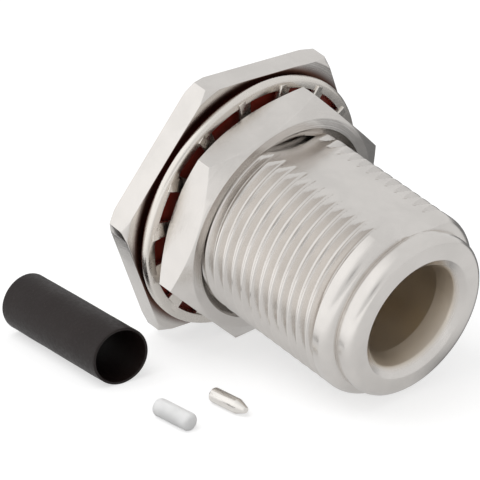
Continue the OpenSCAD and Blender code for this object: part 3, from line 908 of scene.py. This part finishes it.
class JACK_OT_line(bpy.types.Operator):
    """Builds the contact, the two insulators and the ferrule"""

    bl_idname = "jack.line"
    bl_label = "Contact and insulators"

    def execute(self, context):
        n, j = context.scene.jack_line, context.scene.jack_sizes
        self.contact(n)
        held_r, tail_r, shoulder_r = n.contact_r + n.play, n.tail_r + n.play, n.shoulder_r + n.play
        front = [(held_r, n.joint, 0.05), (n.chamber_r, n.joint, 0.05), (n.chamber_r, j.chamber_step, 0.05),
                 (n.line_r, j.chamber_step, 0.05), (n.line_r, j.socket_floor, 0.12), (held_r, j.socket_floor, 0.08)]
        rear = [(tail_r, n.insulator_back, 0.05), (n.chamber_r, n.insulator_back, 0.08),
                (n.chamber_r, n.joint, 0.05), (shoulder_r, n.joint, 0.05), (shoulder_r, n.shoulder_back, 0.03),
                (tail_r, n.shoulder_back, 0.05)]
        finished_piece("front_dielectric", turned_mesh(front, n.steps), "white", ["front_insulator"])
        finished_piece("rear_dielectric", turned_mesh(rear, n.steps), "white", ["rear_insulator"])
        self.ferrule(n, j)
        return {"FINISHED"}

    def contact(self, n):
        """The slotted contact, from the bottom of its front hole round to the bottom of its rear one."""
        bottom, tail_bottom = n.contact_tip - n.pin_hole_depth, n.tail_end + n.tail_hole_depth
        profile = [(0, bottom, 0), (n.pin_hole_r, bottom, 0.05), (n.pin_hole_r, n.contact_tip, 0.12),
                   (n.contact_r, n.contact_tip, n.tip_round), (n.contact_r, n.joint, 0.05),
                   (n.shoulder_r, n.joint, 0.1), (n.shoulder_r, n.shoulder_back, 0.1),
                   (n.tail_r, n.shoulder_back, 0.05), (n.tail_r, n.tail_end, 0.12),
                   (n.tail_hole_r, n.tail_end, 0.06), (n.tail_hole_r, tail_bottom, 0.05), (0, tail_bottom, 0)]
        slot = bmesh.new()
        bmesh.ops.create_cube(slot, size=1)
        inner, outer = n.pin_hole_r / 2, n.contact_r + 0.5
        bmesh.ops.scale(slot, vec=(outer - inner, n.slot_width, n.slot_length + 0.5), verts=slot.verts)
        bmesh.ops.translate(slot, vec=((outer + inner) / 2, 0, 0.25 - n.slot_length / 2), verts=slot.verts)
        bm = patterned(turned_mesh(profile, n.steps), slot, n.fingers, n.contact_tip, "DIFFERENCE", "gold")
        finished_piece("slotted_contact", bm, "gold", ["center_contact"], sharp=30)

    def ferrule(self, n, j):
        """The ferrule, with fine ribs on the part of its neck that grips the cable's braid."""
        back = -j.flange_thickness
        end = back - n.neck_length
        rib_start, rib_end = end + 0.5, back - 0.5

        def ribbed(r, angle, z):
            on_neck = abs(r - n.neck_r) < 0.01 and rib_start < z < rib_end
            return r - n.rib_depth * (0.5 + 0.5 * cos(n.ribs * angle)) if on_neck else r

        profile = [(n.chamber_r, back, 0.08), (n.neck_r, back, 0.08), (n.neck_r, rib_end, 0),
                   (n.neck_r, rib_end - 0.1, 0), (n.neck_r, rib_start + 0.1, 0), (n.neck_r, rib_start, 0),
                   (n.neck_r, end, 0.12), (n.cable_hole_r, end, 0.1), (n.cable_hole_r, n.insulator_back, 0.08),
                   (n.chamber_r, n.insulator_back, 0.08)]
        finished_piece("ribbed_ferrule", turned_mesh(profile, n.ribs * 8, ribbed), "plain nickel",
                       ["cable_ferrule"], sharp=30)


def lying(place, turn, radius):
    """Where a piece made about +Z comes to lie on the floor."""
    spot = Vector((place[0] * MM, place[1] * MM, FLOOR_Z + radius * MM))
    return Matrix.Translation(spot) @ Matrix.Rotation(turn, 4, "Z") @ Matrix.Rotation(pi / 2, 4, "Y")


class JACK_OT_loose(bpy.types.Operator):
    """Builds the three loose pieces that lie beside the jack"""

    bl_idname = "jack.loose"
    bl_label = "Loose pieces"

    def execute(self, context):
        n = context.scene.jack_loose
        half = n.pin_length / 2
        profile = [(0, -half, 0), (n.pin_r, -half, 0.14), (n.pin_r, half - n.pin_point, 0.35),
                   (n.pin_end_r, half, 0.12), (0, half, 0)]
        finished_piece("plated_pin", turned_mesh(profile, n.small_steps), "pin plate", ["cable_pin"],
                       place=lying(n.pin_place, 0, n.pin_r))
        half = n.bead_length / 2
        profile = [(0, -half, 0), (n.bead_r, -half, n.bead_round), (n.bead_r, half, n.bead_round),
                   (0, half, 0)]
        finished_piece("cable_bead", turned_mesh(profile, n.small_steps), "bead", ["cable_insulator"],
                       place=lying(n.bead_place, 0, n.bead_r))
        self.sleeve(n)
        return {"FINISHED"}

    def sleeve(self, n):
        """The sleeve, its wall slightly uneven and its front end cut askew."""
        outer = [(n.sleeve_r, -n.sleeve_length * k / n.sleeve_rows, 0) for k in range(1, n.sleeve_rows)]
        inner = [(n.sleeve_inner_r, z, 0) for _, z, _ in reversed(outer)]
        rim = 0.07
        bm = turned_mesh(
            [(n.sleeve_r, 0, rim)] + outer
            + [(n.sleeve_r, -n.sleeve_length, rim), (n.sleeve_inner_r, -n.sleeve_length, rim)] + inner
            + [(n.sleeve_inner_r, 0, rim)], n.sleeve_steps)
        slope = tan(n.sleeve_cut)
        for vert in bm.verts:
            near = max(0.0, 1 + vert.co.z / (0.4 * n.sleeve_length))
            dent = n.sleeve_waves * (noise.noise(vert.co * 0.45) - 0.5)
            aside = Vector((vert.co.x, vert.co.y, 0)).normalized() * dent
            vert.co += aside + Vector((0, 0, vert.co.y * slope * near ** 2))
        finished_piece("heat_shrink", bm, "sleeve", ["shrink_sleeve"],
                       place=lying(n.sleeve_place, n.sleeve_turn, n.sleeve_r), sharp=60)


class JACK_OT_stage(bpy.types.Operator):
    """Sets the floor, the lamps and the camera"""

    bl_idname = "jack.stage"
    bl_label = "Stage"

    def execute(self, context):
        studio = context.scene.jack_studio
        mesh = bpy.data.meshes.new("floor")
        half = studio.floor_size / 2
        mesh.from_pydata([(-half, -half, FLOOR_Z), (half, -half, FLOOR_Z), (half, half, FLOOR_Z),
                          (-half, half, FLOOR_Z)], [], [(0, 1, 2, 3)])
        floor = bpy.data.objects.new("floor", mesh)
        context.scene.collection.objects.link(floor)
        material, w = new_material("floor")
        seen = w.given("ShaderNodeLightPath")
        place = w.given("ShaderNodeSeparateXYZ", w.add("ShaderNodeTexCoord", outlet=3))
        # Painted shadow that only reflections see: to glossy rays the floor is dimmed where Y is above about minus
        # table_edge, and dimmed far more where Y is above shade_side and X below shade_end, out to the floor's edge.
        # It stands in for the jack's shadow on the table. The camera sees the floor evenly white.
        side, end, soft = studio.shade_side, studio.shade_end, 0.003
        painted_shadow = w.ramp(place["Y"], side - soft, side + soft) * w.ramp(place["X"], end + 0.004, end - 0.004)
        near = w.ramp(place["Y"], -studio.table_edge, -studio.table_edge / 4, 1.0, studio.table_seen)
        table = near * w.ramp(painted_shadow, 0.0, 1.0, 1.0, studio.table_shade)
        mirrored = seen["Is Glossy Ray"] * table + (1 - seen["Is Glossy Ray"])
        grey = mirrored * studio.floor_tone
        paper = w.add("ShaderNodeBsdfDiffuse", Color=w.add("ShaderNodeCombineXYZ", X=grey, Y=grey, Z=grey))
        watched = w.math("MAXIMUM", w.math("MAXIMUM", seen["Is Camera Ray"], seen["Is Glossy Ray"]),
                         seen["Is Transmission Ray"])
        lift = w.add("ShaderNodeEmission", Strength=mirrored * (watched * studio.floor_lift))
        w.finish("ShaderNodeOutputMaterial", "Surface", w.add("ShaderNodeAddShader", _0=paper, _1=lift))
        mesh.materials.append(material)
        self.light_tent(context)
        camera = bpy.data.cameras.new("camera")
        camera.lens = studio.camera_lens
        camera.sensor_width = 36.0
        camera.clip_start = 0.01
        viewer = bpy.data.objects.new("camera", camera)
        viewer.location = studio.camera_place
        viewer.rotation_euler = studio.camera_turn
        context.scene.collection.objects.link(viewer)
        context.scene.camera = viewer
        context.scene.view_settings.view_transform = "Standard"
        return {"FINISHED"}

    def light_tent(self, context):
        """A pale tent all round with one brighter side, and the dim opening that the camera looks through."""
        studio = context.scene.jack_studio
        world = bpy.data.worlds.new("light tent")
        world.use_nodes = True
        world.node_tree.nodes.clear()
        w = Wiring(world.node_tree)
        seen = w.given("ShaderNodeLightPath")
        towards = w.add("ShaderNodeTexCoord")
        facing = w.dot(towards, tuple(Vector(studio.camera_place).normalized()))
        wall = w.ramp(w.dot(towards, tuple(Vector(studio.bright_side).normalized())), 0.45, 0.97,
                      studio.tent_tone, studio.bright_tone)
        hole = w.ramp(facing, cos(studio.opening * 1.6), cos(studio.opening * 0.5))
        tent = wall * (1 - hole) + hole * studio.opening_tone
        lit = w.add("ShaderNodeMix", _0=seen["Is Glossy Ray"], _2=studio.tent_light, _3=tent)
        shade = w.add("ShaderNodeBackground", Color=(1.0, 1.0, 1.0, 1.0),
                      Strength=w.math("MAXIMUM", lit, seen["Is Camera Ray"]))
        w.finish("ShaderNodeOutputWorld", "Surface", shade)
        context.scene.world = world
        lamp = bpy.data.lights.new("softbox", "AREA")
        lamp.size = studio.softbox_size
        lamp.energy = studio.softbox
        softbox = bpy.data.objects.new("softbox", lamp)
        place = Vector(studio.softbox_place)
        softbox.location = place
        softbox.rotation_euler = place.to_track_quat("Z", "Y").to_euler()
        softbox.visible_glossy = False
        context.scene.collection.objects.link(softbox)


class JACK_PT_panel(bpy.types.Panel):
    """Lists the operators and the sizes"""

    bl_label = "Coaxial jack"
    bl_idname = "JACK_PT_panel"
    bl_space_type = "VIEW_3D"
    bl_region_type = "UI"
    bl_category = "Coaxial jack"

    def draw(self, context):
        for operator in OPERATORS:
            self.layout.operator(operator.bl_idname)
        for group in GROUPS:
            box = self.layout.box()
            settings = getattr(context.scene, group)
            for name in settings.__annotations__:
                box.prop(settings, name)


OPERATORS = (JACK_OT_body, JACK_OT_nut, JACK_OT_washer, JACK_OT_gasket, JACK_OT_line, JACK_OT_loose,
             JACK_OT_stage)
GROUPS = {"jack_sizes": JackSizes, "jack_nut": NutSizes, "jack_line": LineSizes, "jack_loose": LooseSizes,
          "jack_colours": FinishColours,
          "jack_studio": StudioSettings}


def register():
    for group in GROUPS.values():
        bpy.utils.register_class(group)
    for operator in OPERATORS:
        bpy.utils.register_class(operator)
    bpy.utils.register_class(JACK_PT_panel)
    for name, group in GROUPS.items():
        setattr(bpy.types.Scene, name, PointerProperty(type=group))


def unregister():
    for name in GROUPS:
        delattr(bpy.types.Scene, name)
    bpy.utils.unregister_class(JACK_PT_panel)
    for operator in reversed(OPERATORS):
        bpy.utils.unregister_class(operator)
    for group in reversed(GROUPS.values()):
        bpy.utils.unregister_class(group)


def main():
    register()
    for operator in OPERATORS:
        space, name = operator.bl_idname.split(".")
        getattr(getattr(bpy.ops, space), name)()


if __name__ == "__main__":
    main()
